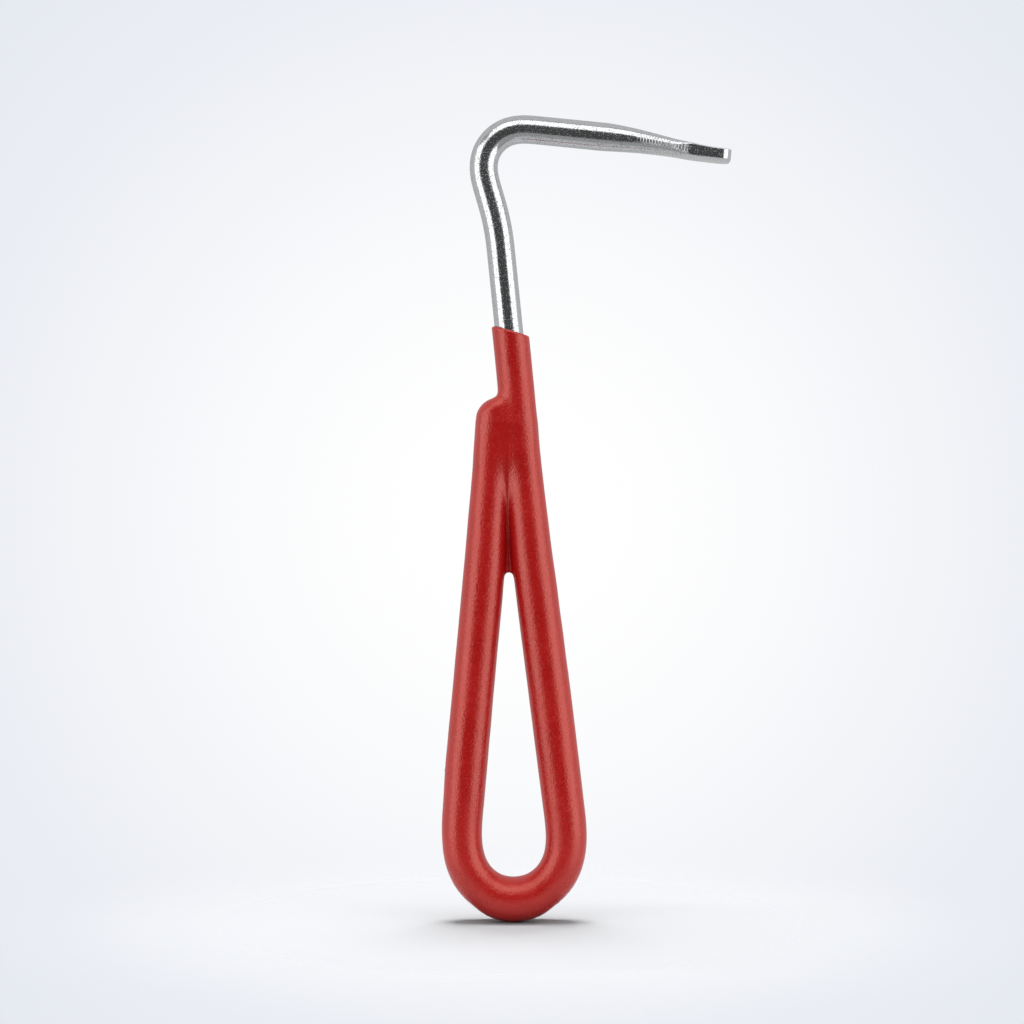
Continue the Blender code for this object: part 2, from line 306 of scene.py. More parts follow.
def drop_old(*names):
    """Clears what an earlier run of the same operator has made."""
    for name in names:
        if name in bpy.data.objects:
            bpy.data.objects.remove(bpy.data.objects[name])


# ---------------------------------------------------------------- node helpers


def new_material(name):
    material = bpy.data.materials.get(name) or bpy.data.materials.new(name)
    material.use_nodes = True
    tree = material.node_tree
    tree.nodes.clear()
    shader = tree.nodes.new("ShaderNodeBsdfPrincipled")
    output = tree.nodes.new("ShaderNodeOutputMaterial")
    tree.links.new(shader.outputs[0], output.inputs[0])
    return material, tree, shader


def noise_node(tree, place, scale, detail=3.0, roughness=0.55):
    node = tree.nodes.new("ShaderNodeTexNoise")
    node.inputs["Scale"].default_value = scale
    node.inputs["Detail"].default_value = detail
    node.inputs["Roughness"].default_value = roughness
    tree.links.new(place, node.inputs["Vector"])
    return node.outputs["Fac"]


def ranged(tree, value, low, high, to_low, to_high):
    node = tree.nodes.new("ShaderNodeMapRange")
    node.interpolation_type = "SMOOTHSTEP"
    for socket, number in zip(node.inputs[1:5], (low, high, to_low, to_high)):
        socket.default_value = number
    tree.links.new(value, node.inputs[0])
    return node.outputs[0]


def colour_mix(tree, share, first, second):
    """Mixes two colours, each a socket or a fixed colour."""
    node = tree.nodes.new("ShaderNodeMix")
    node.data_type = "RGBA"
    tree.links.new(share, node.inputs["Factor"])
    for socket, colour in ((node.inputs[6], first), (node.inputs[7], second)):
        if isinstance(colour, bpy.types.NodeSocket):
            tree.links.new(colour, socket)
        else:
            socket.default_value = (*colour, 1.0)
    return node.outputs[2]


def arithmetic(tree, operation, first, second):
    node = tree.nodes.new("ShaderNodeMath")
    node.operation = operation
    for socket, value in zip(node.inputs, (first, second)):
        if isinstance(value, bpy.types.NodeSocket):
            tree.links.new(value, socket)
        else:
            socket.default_value = value
    return node.outputs[0]


def bump_chain(tree, shader, layers):
    """Bump layers of (height socket, strength, distance), the broadest first."""
    normal = None
    for height, strength, distance in layers:
        node = tree.nodes.new("ShaderNodeBump")
        node.inputs["Strength"].default_value = strength
        node.inputs["Distance"].default_value = distance
        tree.links.new(height, node.inputs["Height"])
        if normal:
            tree.links.new(normal, node.inputs["Normal"])
        normal = node.outputs[0]
    tree.links.new(normal, shader.inputs["Normal"])


def object_place(tree):
    return tree.nodes.new("ShaderNodeTexCoord").outputs["Object"]


def stretched(tree, place, scale):
    node = tree.nodes.new("ShaderNodeMapping")
    node.inputs["Scale"].default_value = scale
    tree.links.new(place, node.inputs["Vector"])
    return node.outputs[0]


# ---------------------------------------------------------------- finishes


# Distances from the tip between which the die has dulled the flanks, each with its fade.
DULL_BEGINS = (23.0 * MM, 15.0 * MM)
DULL_ENDS = (10.0 * MM, 8.0 * MM)
# Distances from the rod's middle line over which the dulling comes in.
DULL_FLANK = (2.2 * MM, 3.0 * MM)


def plated_steel(finish, wire):
    """Bright plate over drawn rod: fine specks, faint lines along it, and dull die marks."""
    material, tree, shader = new_material(STEEL_SLOT)
    place = object_place(tree)
    unbent = tree.nodes.new("ShaderNodeAttribute")
    unbent.attribute_name = UNBENT
    split = tree.nodes.new("ShaderNodeSeparateXYZ")
    tree.links.new(unbent.outputs["Vector"], split.inputs[0])
    along, across = split.outputs["X"], arithmetic(tree, "ABSOLUTE", split.outputs["Y"], 0.0)
    specks = noise_node(tree, place, 3300.0, 1.0)
    grains = noise_node(tree, place, 1500.0, 2.0)
    clouds = noise_node(tree, place, 120.0, 3.0)
    lines = noise_node(tree, stretched(tree, unbent.outputs["Vector"], (60.0, 2400.0, 2400.0)), 1.0)
    # The dies leave the flanks of the taper dull and finely ridged.
    begun = ranged(tree, along, *(wire.tip - from_tip for from_tip in DULL_BEGINS), 0.0, 1.0)
    ended = ranged(tree, along, *(wire.tip - from_tip for from_tip in DULL_ENDS), 1.0, 0.0)
    flank = ranged(tree, across, *DULL_FLANK, 0.0, 1.0)
    marked = arithmetic(tree, "MULTIPLY", arithmetic(tree, "MULTIPLY", begun, ended), flank)
    pits = ranged(tree, specks, 0.55, 0.64, 0.0, 1.0)
    tree.links.new(
        colour_mix(tree, pits, finish.steel, finish.steel_pits), shader.inputs["Base Color"]
    )
    gloss = ranged(tree, clouds, 0.3, 0.7, 0.1, 0.16)
    gloss = arithmetic(tree, "ADD", gloss, arithmetic(tree, "MULTIPLY", pits, 0.33))
    gloss = arithmetic(tree, "ADD", gloss, arithmetic(tree, "MULTIPLY", marked, 0.05))
    tree.links.new(gloss, shader.inputs["Roughness"])
    shader.inputs["Metallic"].default_value = 1.0
    rough_marks = arithmetic(tree, "MULTIPLY", grains, marked)
    bump_chain(
        tree,
        shader,
        (
            (lines, 0.15, 0.008 * MM),
            (rough_marks, 0.5, 0.04 * MM),
            (grains, 0.2, 0.015 * MM),
            (pits, 0.3, 0.012 * MM),
        ),
    )
    return material


def dipped_pvc(finish):
    """Satin plastisol: faintly clouded, finely speckled, with a soft orange peel."""
    material, tree, shader = new_material(PVC_SLOT)
    place = object_place(tree)
    patches = noise_node(tree, place, 130.0, 3.0)
    specks = noise_node(tree, place, 2300.0, 1.5)
    peel = noise_node(tree, place, 900.0, 2.0)
    body = colour_mix(tree, ranged(tree, patches, 0.35, 0.65, 0.0, 1.0), finish.pvc_deep, finish.pvc)
    flecks = ranged(tree, specks, 0.55, 0.75, 0.0, 0.6)
    tree.links.new(colour_mix(tree, flecks, body, finish.pvc_bloom), shader.inputs["Base Color"])
    gloss = ranged(tree, patches, 0.3, 0.7, 0.29, 0.34)
    gloss = arithmetic(tree, "ADD", gloss, ranged(tree, specks, 0.4, 0.7, -0.03, 0.06))
    tree.links.new(gloss, shader.inputs["Roughness"])
    shader.inputs["IOR"].default_value = 1.68
    shader.inputs["Specular IOR Level"].default_value = 0.9
    shader.inputs["Specular Tint"].default_value = (*finish.pvc_gloss, 1.0)
    bump_chain(tree, shader, ((peel, 0.3, 0.04 * MM), (specks, 1.0, 0.08 * MM)))
    return material


def weld_metal(finish):
    """A rippled, scaled bead."""
    material, tree, shader = new_material(WELD_SLOT)
    place = object_place(tree)
    ripples = noise_node(tree, stretched(tree, place, (300.0, 300.0, 1400.0)), 1.0, 2.0)
    scale = noise_node(tree, place, 1500.0)
    dark = [0.4 * share for share in finish.weld]
    tree.links.new(
        colour_mix(tree, ranged(tree, scale, 0.4, 0.65, 0.0, 1.0), finish.weld, dark),
        shader.inputs["Base Color"],
    )
    tree.links.new(ranged(tree, scale, 0.3, 0.7, 0.35, 0.6), shader.inputs["Roughness"])
    shader.inputs["Metallic"].default_value = 1.0
    bump_chain(tree, shader, ((ripples, 0.6, 0.2 * MM), (scale, 0.4, 0.04 * MM)))
    return material


# ---------------------------------------------------------------- the rod


# Points in each quarter of the rod's section.
QUARTER_POINTS = 16
# Spacing of the sections under the plastic, on the bare rod and on the taper.
HIDDEN_SPACING, BARE_SPACING, TAPER_SPACING = 2.0 * MM, 0.5 * MM, 0.08 * MM
# How far below the collar the finer sections begin.
COLLAR_TUCK = 6.0 * MM
# Length of the first section at the free end.
SCARF = 0.8 * MM
# Powers of the press: how soon the blade thins, and how late it drops.
THINNING_POWER, DROP_POWER = 0.75, 1.3
# Lengths over which the die's marks come in and stop.
MARKS_RISE, MARKS_FALL = 7.0 * MM, 1.2 * MM
# The second tone that sharpens the marks, and how far their spacing wanders.
MARK_OVERTONE, MARK_WANDER = 0.35, 0.25
BLADE_WAVINESS = 0.03 * MM
# The blade's end rounds off by these shares of its edge radius, across, up and at the corners.
END_ACROSS, END_UP, END_CORNER = 0.3, 0.6, 0.5
SMALLEST_CORNER = 0.1 * MM
# Gap that the free end keeps to the shank.
SCARF_GAP = 0.3 * MM


def rod_stations(wire, collar, blade):
    """Distances along the wire at which the rod's section is given."""

    def spaced(start, end, spacing):
        return list(np.linspace(start, end, math.ceil((end - start) / spacing), endpoint=False))

    # The free side is pushed out of the search by a metre.
    off_collar = np.abs(wire.height - collar + COLLAR_TUCK) + (wire.distance < 0)
    bare = wire.distance[np.argmin(off_collar)]
    taper = wire.tip - blade.press_begins
    scarf = [wire.free_end, wire.free_end + SCARF]
    stations = scarf + spaced(scarf[-1] + HIDDEN_SPACING, bare, HIDDEN_SPACING)
    stations += spaced(bare, taper, BARE_SPACING)
    stations += spaced(taper, wire.tip - blade.corner, TAPER_SPACING)
    for degrees in range(0, 90, 3):
        stations.append(wire.tip - blade.corner * (1.0 - math.sin(math.radians(degrees))))
    return stations + [wire.tip]


def worked_share(from_tip, begins, full):
    """How far a press is complete, from 0 where it begins to 1 where it is full."""
    return float(1.0 - smoothstep((from_tip - full) / (begins - full)))


def rounded_off(depth, radius):
    """What a rounded edge of this radius loses at this depth under its top."""
    return radius - math.sqrt(max(radius**2 - (radius - depth) ** 2, 0.0))


def die_relief(distance, from_tip, pressed, blade):
    """Height of the die's ridges, and of the press's unevenness, on the flanks."""
    wobble = noise.noise(Vector((distance / MM * 0.35, 3.1, 7.7)))
    phase = math.tau * (from_tip / blade.mark_pitch + MARK_WANDER * wobble)
    marks = math.sin(phase) + MARK_OVERTONE * math.sin(2.0 * phase)
    marked = smoothstep((blade.mark_begins - from_tip) / MARKS_RISE)
    marked *= smoothstep((from_tip - blade.mark_ends) / MARKS_FALL)
    waviness = BLADE_WAVINESS * pressed * noise.noise(Vector((distance / MM * 0.6, 9.3, 1.2)))
    return blade.mark_depth * marks * marked + waviness


def section_point(angle, half_width, half_height, rounding):
    """A point of a section with flat sides joined by round corners."""
    across = math.copysign(half_width - rounding, math.cos(angle))
    up = math.copysign(half_height - rounding, math.sin(angle))
    return across + rounding * math.cos(angle), up + rounding * math.sin(angle)


def rod_ring(wire, distance, s, blade):
    """The section's points at this distance, and their places on the unbent rod."""
    centre, _, up = wire.at(distance)
    from_tip = wire.tip - distance
    pressed = worked_share(from_tip, blade.press_begins, blade.press_full)
    half_width = mix(s.rod_radius, blade.width / 2.0, pressed)
    half_height = mix(s.rod_radius, blade.thickness / 2.0, pressed**THINNING_POWER)
    squared = worked_share(from_tip, blade.trim_begins, blade.trim_full)
    rounding = mix(half_height, blade.edge, squared)
    if from_tip < blade.corner:
        half_width -= rounded_off(from_tip, blade.corner)
    if from_tip < blade.edge:
        lost = rounded_off(from_tip, blade.edge)
        half_width -= lost * END_ACROSS
        half_height -= lost * END_UP
        rounding = max(rounding - lost * END_CORNER, SMALLEST_CORNER)
    relief = die_relief(distance, from_tip, pressed, blade)
    ring, unbent = [], []
    for i in range(4 * QUARTER_POINTS):
        angle = (i + 0.5) / QUARTER_POINTS * math.pi / 2.0
        y, z = section_point(angle, half_width, half_height, rounding)
        outward = abs(y) / half_width
        y += math.copysign(outward**2, y) * relief
        z -= blade.drop * pressed**DROP_POWER
        ring.append(centre + Y_AXIS * y + up * z)
        unbent.append((distance, y, z))
    return ring, unbent


def scarfed(point, wire, s):
    """A point of the free end, pushed off the shank that it is welded along."""
    foot, top = wire.at(wire.shank_foot)[0], wire.at(wire.shank_top)[0]
    outward = (top - foot).cross(Y_AXIS).normalized()
    outward *= math.copysign(1.0, outward.dot(wire.at(wire.free_end)[0] - foot))
    short = s.rod_radius + SCARF_GAP - (point - foot).dot(outward)
    return point + outward * max(short, 0.0)


def build_rod(settings):
    s, blade, grip = settings.wire, settings.blade, settings.grip
    wire = Wire(s)
    rings, unbent = [], []
    for distance in rod_stations(wire, grip.collar_height, blade):
        ring, places = rod_ring(wire, distance, s, blade)
        if distance < wire.free_foot:
            ring = [scarfed(point, wire, s) for point in ring]
        rings.append(ring)
        unbent += places
    drop_old("bent_rod")
    rod = new_object("bent_rod", loft(rings), plated_steel(settings.finish, wire))
    kept = rod.data.attributes.new(UNBENT, "FLOAT_VECTOR", "POINT")
    kept.data.foreach_set("vector", np.array(unbent, np.float32).ravel())
    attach(rod, "root")
    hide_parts("steel_rod")


# ---------------------------------------------------------------- the grip


TUBE_SIDES = 48
SIDE_ANGLES = tuple(math.tau * side / TUBE_SIDES for side in range(TUBE_SIDES))


def tube_rings(points, radii):
    """Round rings square to a line of points in the XZ plane."""
    rings = []
    for i, (point, radius) in enumerate(zip(points, radii)):
        before, after = points[max(i - 1, 0)], points[min(i + 1, len(points) - 1)]
        up = (after - before).cross(Y_AXIS).normalized()
        rings.append(
            [point + radius * (math.cos(a) * Y_AXIS + math.sin(a) * up) for a in SIDE_ANGLES]
        )
    return rings


# How far the sleeve runs on past the collar before it is cut, and where the skin's first
# section stands on the free end.
SLEEVE_OVERRUN, CAP_BEGINS = 6.0 * MM, 0.7 * MM
SKIN_SPACING = 1.0 * MM
# The dome over the free end: steps in degrees, and the powers that square it off.
DOME_DEGREES = range(88, 0, -8)
DOME_RISE, DOME_GIRTH = 0.9, 0.8
# The dip up each side: (height, outer radius, how far it sits off the rod towards +X).
FREE_SKIN = (
    (5.0, 4.5, 0.0),
    (12.0, 4.4, 0.15),
    (17.0, 4.36, 0.2),
    (23.0, 4.42, 0.1),
    (34.0, 4.58, -0.03),
    (50.0, 4.52, 0.03),
    (60.0, 4.5, 0.07),
    (70.0, 4.52, 0.14),
    (76.0, 4.46, 0.12),
    (87.0, 4.2, 0.05),
    (98.0, 3.9, 0.0),
    (108.0, 3.82, 0.0),
)
SHANK_SKIN = (
    (5.0, 4.5, 0.0),
    (14.0, 4.45, 0.07),
    (34.0, 4.55, 0.11),
    (50.0, 4.6, 0.1),
    (62.0, 4.58, 0.05),
    (76.0, 4.53, 0.0),
    (82.0, 4.37, 0.0),
    (88.0, 4.22, 0.03),
    (95.0, 4.08, 0.03),
    (102.0, 3.95, 0.02),
    (112.0, 3.95, 0.2),
    (120.0, 3.95, 0.27),
)


def skin_at(skin, z):
    """Radius and shift of one side's skin at one height or many."""
    heights, radii, shifts = zip(*skin)
    return np.interp(z / MM, heights, radii) * MM, np.interp(z / MM, heights, shifts) * MM


def dipped_line(wire, grip):
    """The skin's centres and radii, from the cap over the free end to past the collar."""
    sleeve_end = wire.on_shank(grip.collar_height + SLEEVE_OVERRUN)
    end, way, _ = wire.at(wire.free_end)
    base = end + way * CAP_BEGINS
    points, radii = [], []
    cap_radius = float(skin_at(FREE_SKIN, base.z)[0])
    for degrees in DOME_DEGREES:
        a = math.radians(degrees)
        points.append(base - way * grip.cap_height * math.sin(a) ** DOME_RISE)
        radii.append(cap_radius * math.cos(a) ** DOME_GIRTH)
    length = wire.shank_foot + (sleeve_end - wire.at(wire.shank_foot)[0]).length
    for distance in np.arange(wire.free_end + CAP_BEGINS, length, SKIN_SPACING):
        point = wire.at(distance)[0]
        depth = (grip.pool_top - point.z) / (grip.pool_top - wire.at(0.0)[0].z)
        pooled = float(smoothstep(depth))
        radius, shift = skin_at(FREE_SKIN if distance < 0.0 else SHANK_SKIN, point.z)
        points.append(point + Vector((float(shift), 0.0, -grip.pool_drop * pooled)))
        radii.append(float(radius) + grip.pool_swell * pooled)
    return points, radii


# The web between the legs: its sections, and half its width and depth at the hole and where
# it is flush.
WEB_SECTIONS = 24
WEB_HALF_WIDTHS, WEB_HALF_DEPTHS = (2.2 * MM, 3.0 * MM), (2.4 * MM, 3.9 * MM)


def web_rings(wire, grip):
    """The plastic caught between the legs, before it is drawn into them."""
    rings = []
    for z in np.linspace(grip.web_bottom, grip.web_top, WEB_SECTIONS):
        shank, free = wire.on_shank(z), wire.on_free_end(z)
        centre = (shank + free) / 2.0
        filled = float(smoothstep((z - grip.web_bottom) / (grip.web_full - grip.web_bottom)))
        half_width = mix(*WEB_HALF_WIDTHS, filled)
        half_depth = mix(*WEB_HALF_DEPTHS, filled)
        rings.append(
            [
                centre + Vector((half_width * math.cos(a), half_depth * math.sin(a), 0.0))
                for a in SIDE_ANGLES
            ]
        )
    return rings


# The thin sheet that is left between the legs when they have melted together: half its
# depth and width, and how far its lower edge stands above the web's bottom.
SHEET_HALF_DEPTH, SHEET_HALF_WIDTH, SHEET_LIFT = 0.35 * MM, 3.0 * MM, 0.15 * MM
# How softly the legs run together: (height, length over which two skins melt into one).
MELT = (
    (76.0, 0.48),
    (80.0, 0.38),
    (84.0, 0.38),
    (90.0, 0.6),
    (95.0, 0.9),
    (101.0, 1.4),
    (108.0, 1.4),
    (112.5, 0.6),
    (118.0, 0.5),
)


# Keeps the exponentials of the melting in range.
MELT_LIMIT = 40.0
ASIDE = np.array((1.0, 0.0, 0.0))
# How far the skin is drawn below the hole's top and past the collar, and how it fades in.
DRAWN_BELOW, DRAWN_PAST, DRAWN_FADE = 16.0 * MM, 4.0 * MM, 12.0 * MM
# Rounds of drawing, the nudge that finds the slope, and the limits on one push.
DRAWS, NUDGE, LEAST_STEEPNESS, LONGEST_PUSH = 5, 0.02 * MM, 0.2, 0.4 * MM


def off_leg(places, wire, shank_side):
    """Distances of many places from one leg's centreline, carried on straight past its end."""
    start, end = (wire.leg, wire.shank_top) if shank_side else (wire.free_end, -wire.leg)
    on_leg = (wire.distance >= start) & (wire.distance <= end)
    heights, across = wire.height[on_leg], wire.across[on_leg]
    if not shank_side:
        heights, across = heights[::-1], across[::-1]
    top, way, _ = wire.at(wire.shank_top if shank_side else wire.free_end)
    line = np.interp(places[:, 2], heights, across)
    line += np.maximum(places[:, 2] - top.z, 0.0) * way.x / way.z
    return np.hypot((places[:, 0] - line) * way.z, places[:, 1])


def shank_depth(places, wire):
    """How far many places stand out of the shank's skin."""
    radius, shift = skin_at(SHANK_SKIN, places[:, 2])
    return off_leg(places - shift[:, None] * ASIDE, wire, True) - radius


def free_depth(places, wire, grip):
    """How far they stand out of the free end's, a cylinder with a slanted, rounded top."""
    radius, shift = skin_at(FREE_SKIN, places[:, 2])
    beside = off_leg(places - shift[:, None] * ASIDE, wire, False) - radius
    above = (places[:, 2] - grip.cap_top) * math.cos(grip.cap_tilt)
    above -= (places[:, 0] - wire.at(wire.free_end)[0].x) * math.sin(grip.cap_tilt)
    beyond = np.stack((beside, above)) + grip.cap_corner
    outside = np.hypot(np.maximum(beyond[0], 0.0), np.maximum(beyond[1], 0.0))
    return outside + np.minimum(np.maximum(beyond[0], beyond[1]), 0.0) - grip.cap_corner


def sheet_depth(places, wire, grip):
    """How far they stand out of the sheet between the legs."""
    z = places[:, 2]
    low, high = (
        (wire.on_shank(level) + wire.on_free_end(level)) / 2.0
        for level in (grip.web_bottom, grip.web_top)
    )
    across = low.x + (z - low.z) * (high.x - low.x) / (high.z - low.z)
    depth = np.abs(places[:, 1]) - SHEET_HALF_DEPTH
    depth = np.maximum(depth, np.abs(places[:, 0] - across) - SHEET_HALF_WIDTH)
    depth = np.maximum(depth, z - grip.web_top)
    return np.maximum(depth, grip.web_bottom + SHEET_LIFT - z)


def melted_depth(places, wire, grip):
    """How far many places stand out of the softly joined skins and the sheet."""
    heights, melts = zip(*MELT)
    melt = np.interp(places[:, 2] / MM, heights, melts) * MM
    depths = (
        shank_depth(places, wire),
        free_depth(places, wire, grip),
        sheet_depth(places, wire, grip),
    )
    joined = sum(np.exp(-np.clip(depth / melt, -MELT_LIMIT, MELT_LIMIT)) for depth in depths)
    return -melt * np.log(joined)


def melt_together(piece, wire, grip):
    """Draws the skin on to the softly joined surface, from a little below the hole's top."""
    data = piece.data
    places = np.empty(len(data.vertices) * 3, np.float32)
    data.vertices.foreach_get("co", places)
    places = places.reshape(-1, 3).astype(float)
    chosen = np.nonzero(places[:, 2] > grip.web_bottom - DRAWN_BELOW)[0]
    chosen = chosen[places[chosen, 2] < grip.collar_height + DRAWN_PAST]
    moved = places[chosen]
    share = smoothstep((moved[:, 2] - grip.web_bottom + DRAWN_BELOW) / DRAWN_FADE)[:, None]
    for _ in range(DRAWS):
        depth = melted_depth(moved, wire, grip)
        slope = np.stack(
            [
                melted_depth(moved + step, wire, grip) - melted_depth(moved - step, wire, grip)
                for step in NUDGE * np.eye(3)
            ],
            axis=1,
        ) / (2.0 * NUDGE)
        steepness = np.maximum((slope**2).sum(axis=1), LEAST_STEEPNESS)
        push = np.clip(depth / steepness, -LONGEST_PUSH, LONGEST_PUSH)
        moved = moved - slope * push[:, None] * share
    places[chosen] = moved
    data.vertices.foreach_set("co", places.astype(np.float32).ravel())
    data.update()


# Rounds of softening after each of the three times that the skin is fused.
SOFTENINGS = (14, 3, 3)


def fuse(piece, voxel, rounds):
    """Melts overlapping closed shells of one mesh into one skin and softens it."""
    remesh = piece.modifiers.new("fuse", "REMESH")
    remesh.mode = "VOXEL"
    remesh.voxel_size = voxel
    remesh.use_smooth_shade = True
    soften = piece.modifiers.new("soften", "SMOOTH")
    soften.factor = 0.5
    soften.iterations = rounds
    bpy.context.view_layer.update()
    graph = bpy.context.evaluated_depsgraph_get()
    melted = bpy.data.meshes.new_from_object(piece.evaluated_get(graph))
    piece.modifiers.clear()
    piece.data = melted


# Edges of the cut that are shorter than this are closed up.
RIM_WELD = 0.06 * MM
# The lip is shaped to this depth under the collar's plane.
LIP_REACH = 1.5 * MM
# Rounding of the lip on the free end's side and on the other.
LIP_CORNERS = (0.6 * MM, 0.4 * MM)
# Height of the roll round the lip, and how fast it fades down the sleeve.
LIP_ROLL, LIP_FADE = 0.1 * MM, 0.5 * MM
# Rings that close the lip: (stand-off from the steel, depth under the collar's plane).
LIP_RINGS = ((0.12, 0.02), (0.04, 0.12), (-0.15, 0.4), (-1.6, 0.6))
# Raggedness of the lip where it meets the steel, and its waves round the rod.
RAGGED_DEPTH, RAGGED_WAVES = 0.05 * MM, 6.0


def collar_frame(wire, grip):
    """The middle of the collar on the shank's axis, the axis and the collar plane's normal."""
    middle = wire.on_shank(grip.collar_height)
    axis = (wire.at(wire.shank_top)[0] - wire.at(wire.shank_foot)[0]).normalized()
    normal = Vector((0.0, 0.0, 1.0))
    normal.rotate(Euler((0.0, grip.collar_tilt, 0.0)))
    return middle, axis, normal


def trim_collar(piece, wire, grip, rod_radius):
    """Cuts the sleeve at the slanted collar, rounds its lip and closes it against the steel."""
    middle, axis, normal = collar_frame(wire, grip)
    side = axis.cross(Y_AXIS).normalized()
    side *= math.copysign(1.0, side.x)
    mesh = bmesh.new()
    mesh.from_mesh(piece.data)
    bmesh.ops.bisect_plane(
        mesh,
        geom=mesh.verts[:] + mesh.edges[:] + mesh.faces[:],
        plane_co=middle,
        plane_no=normal,
        clear_outer=True,
    )
    rim = [e for e in mesh.edges if e.is_boundary]
    bmesh.ops.remove_doubles(mesh, verts=list({v for e in rim for v in e.verts}), dist=RIM_WELD)

    def from_axis(point):
        offset = point - middle
        return offset - axis * offset.dot(axis)

    for vert in mesh.verts:
        depth = -(vert.co - middle).dot(normal)
        if depth > LIP_REACH:
            continue
        way = from_axis(vert.co).normalized()
        to_side = 0.5 + 0.5 * way.dot(side)
        corner = mix(*LIP_CORNERS, to_side)
        roll = LIP_ROLL * math.exp(-((depth / LIP_FADE) ** 2)) * (1.0 - to_side) ** 2
        lost = rounded_off(depth, corner) if depth < corner else 0.0
        vert.co += way * (roll - lost)

    rim = [e for e in mesh.edges if e.is_boundary]
    for stand_off, sunk in LIP_RINGS:
        grown = bmesh.ops.extrude_edge_only(mesh, edges=rim)["geom"]
        rim = [g for g in grown if isinstance(g, bmesh.types.BMEdge)]
        for vert in (g for g in grown if isinstance(g, bmesh.types.BMVert)):
            radial = from_axis(vert.co)
            way = radial.normalized()
            ragged = RAGGED_DEPTH * noise.noise(way * RAGGED_WAVES) if stand_off > 0.0 else 0.0
            target = rod_radius + stand_off * MM + ragged
            vert.co += way * (min(target, radial.length) - radial.length)
            # Slide along the axis back on to the plane, then sink.
            off = (vert.co - middle).dot(normal) / axis.dot(normal)
            vert.co -= axis * (off + sunk * MM)
    bmesh.ops.holes_fill(mesh, edges=rim, sides=0)
    bmesh.ops.recalc_face_normals(mesh, faces=mesh.faces[:])
    mesh.to_mesh(piece.data)
    mesh.free()


# The cured plastic's waves, their length, and how far from the collar they fade out.
WAVE_HEIGHT, WAVE_LENGTH, WAVE_FADE = 0.035 * MM, 5.0 * MM, 2.0 * MM
# Small bumps: how many, and the smallest and largest size and height in millimetres.
BUMPS, BUMP_SEED, BUMP_SIZES, BUMP_HEIGHTS = 26, 11, (0.25, 0.55), (0.03, 0.09)


def unevenness(piece, grip):
    """Soft waves and a few small bumps in the cured plastic."""
    data = piece.data
    count = len(data.vertices)
    places = np.empty(count * 3, np.float32)
    normals = np.empty(count * 3, np.float32)
    data.vertices.foreach_get("co", places)
    data.vertex_normals.foreach_get("vector", normals)
    places, normals = places.reshape(-1, 3), normals.reshape(-1, 3)
    waves = np.array([noise.noise(Vector(place) / WAVE_LENGTH) for place in places])
    lift = WAVE_HEIGHT * waves
    picker = np.random.default_rng(BUMP_SEED)
    for _ in range(BUMPS):
        middle = places[picker.integers(count)]
        size = picker.uniform(*BUMP_SIZES) * MM
        height = picker.uniform(*BUMP_HEIGHTS) * MM
        away = np.linalg.norm(places - middle, axis=1)
        lift += height * np.exp(-((away / size) ** 2))
    keep = smoothstep((grip.collar_height - WAVE_FADE - places[:, 2]) / WAVE_FADE)
    places += normals * (lift * keep)[:, None]
    data.vertices.foreach_set("co", places.ravel())
    data.update()


def build_grip(settings):
    grip = settings.grip
    wire = Wire(settings.wire)
    shell = loft(tube_rings(*dipped_line(wire, grip)))
    web = loft(web_rings(wire, grip))
    spare = bpy.data.meshes.new("web")
    web.to_mesh(spare)
    web.free()
    shell.from_mesh(spare)
    bpy.data.meshes.remove(spare)
    drop_old("dipped_skin")
    skin = new_object("dipped_skin", shell)
    for rounds in SOFTENINGS:
        fuse(skin, grip.voxel, rounds)
        melt_together(skin, wire, grip)
    trim_collar(skin, wire, grip, settings.wire.rod_radius)
    unevenness(skin, grip)
    skin.data.shade_smooth()
    skin.data.materials.clear()
    skin.data.materials.append(dipped_pvc(settings.finish))
    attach(skin, "root")
    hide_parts("dipped_grip")


def finish_beads(settings):
    """The beads keep their solids and take only the weld's finish."""
    material = weld_metal(settings.finish)
    for name in BEADS:
        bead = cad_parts[name]
        bead.data.materials.clear()
        bead.data.materials.append(material)


# ---------------------------------------------------------------- the stage


# Share of the table's radius at which it starts to fade out.
FADE_STARTS = 0.1
# How much paler the table's fibres are.
FIBRE_GAIN = 1.01


def build_floor(stage):
    """A pale table top that fades out into the backdrop."""
    drop_old("table")
    mesh = bmesh.new()
    bmesh.ops.create_circle(mesh, cap_ends=True, segments=96, radius=stage.floor_radius)
    floor = new_object("table", mesh)
    material, tree, shader = new_material("table_paper")
    place = object_place(tree)
    fibres = noise_node(tree, place, 120.0)
    pale = [min(1.0, FIBRE_GAIN * share) for share in stage.floor]
    tree.links.new(colour_mix(tree, fibres, stage.floor, pale), shader.inputs["Base Color"])
    shader.inputs["Roughness"].default_value = 0.7
    shader.inputs["Specular IOR Level"].default_value = 0.2
    reach = tree.nodes.new("ShaderNodeVectorMath")
    reach.operation = "LENGTH"
    tree.links.new(place, reach.inputs[0])
    fade = (stage.floor_radius * FADE_STARTS, stage.floor_radius)
    kept = ranged(tree, reach.outputs["Value"], *fade, 1.0, 0.0)
    tree.links.new(kept, shader.inputs["Alpha"])
    floor.data.materials.append(material)
    floor.location.x = stage.camera_x
    return floor


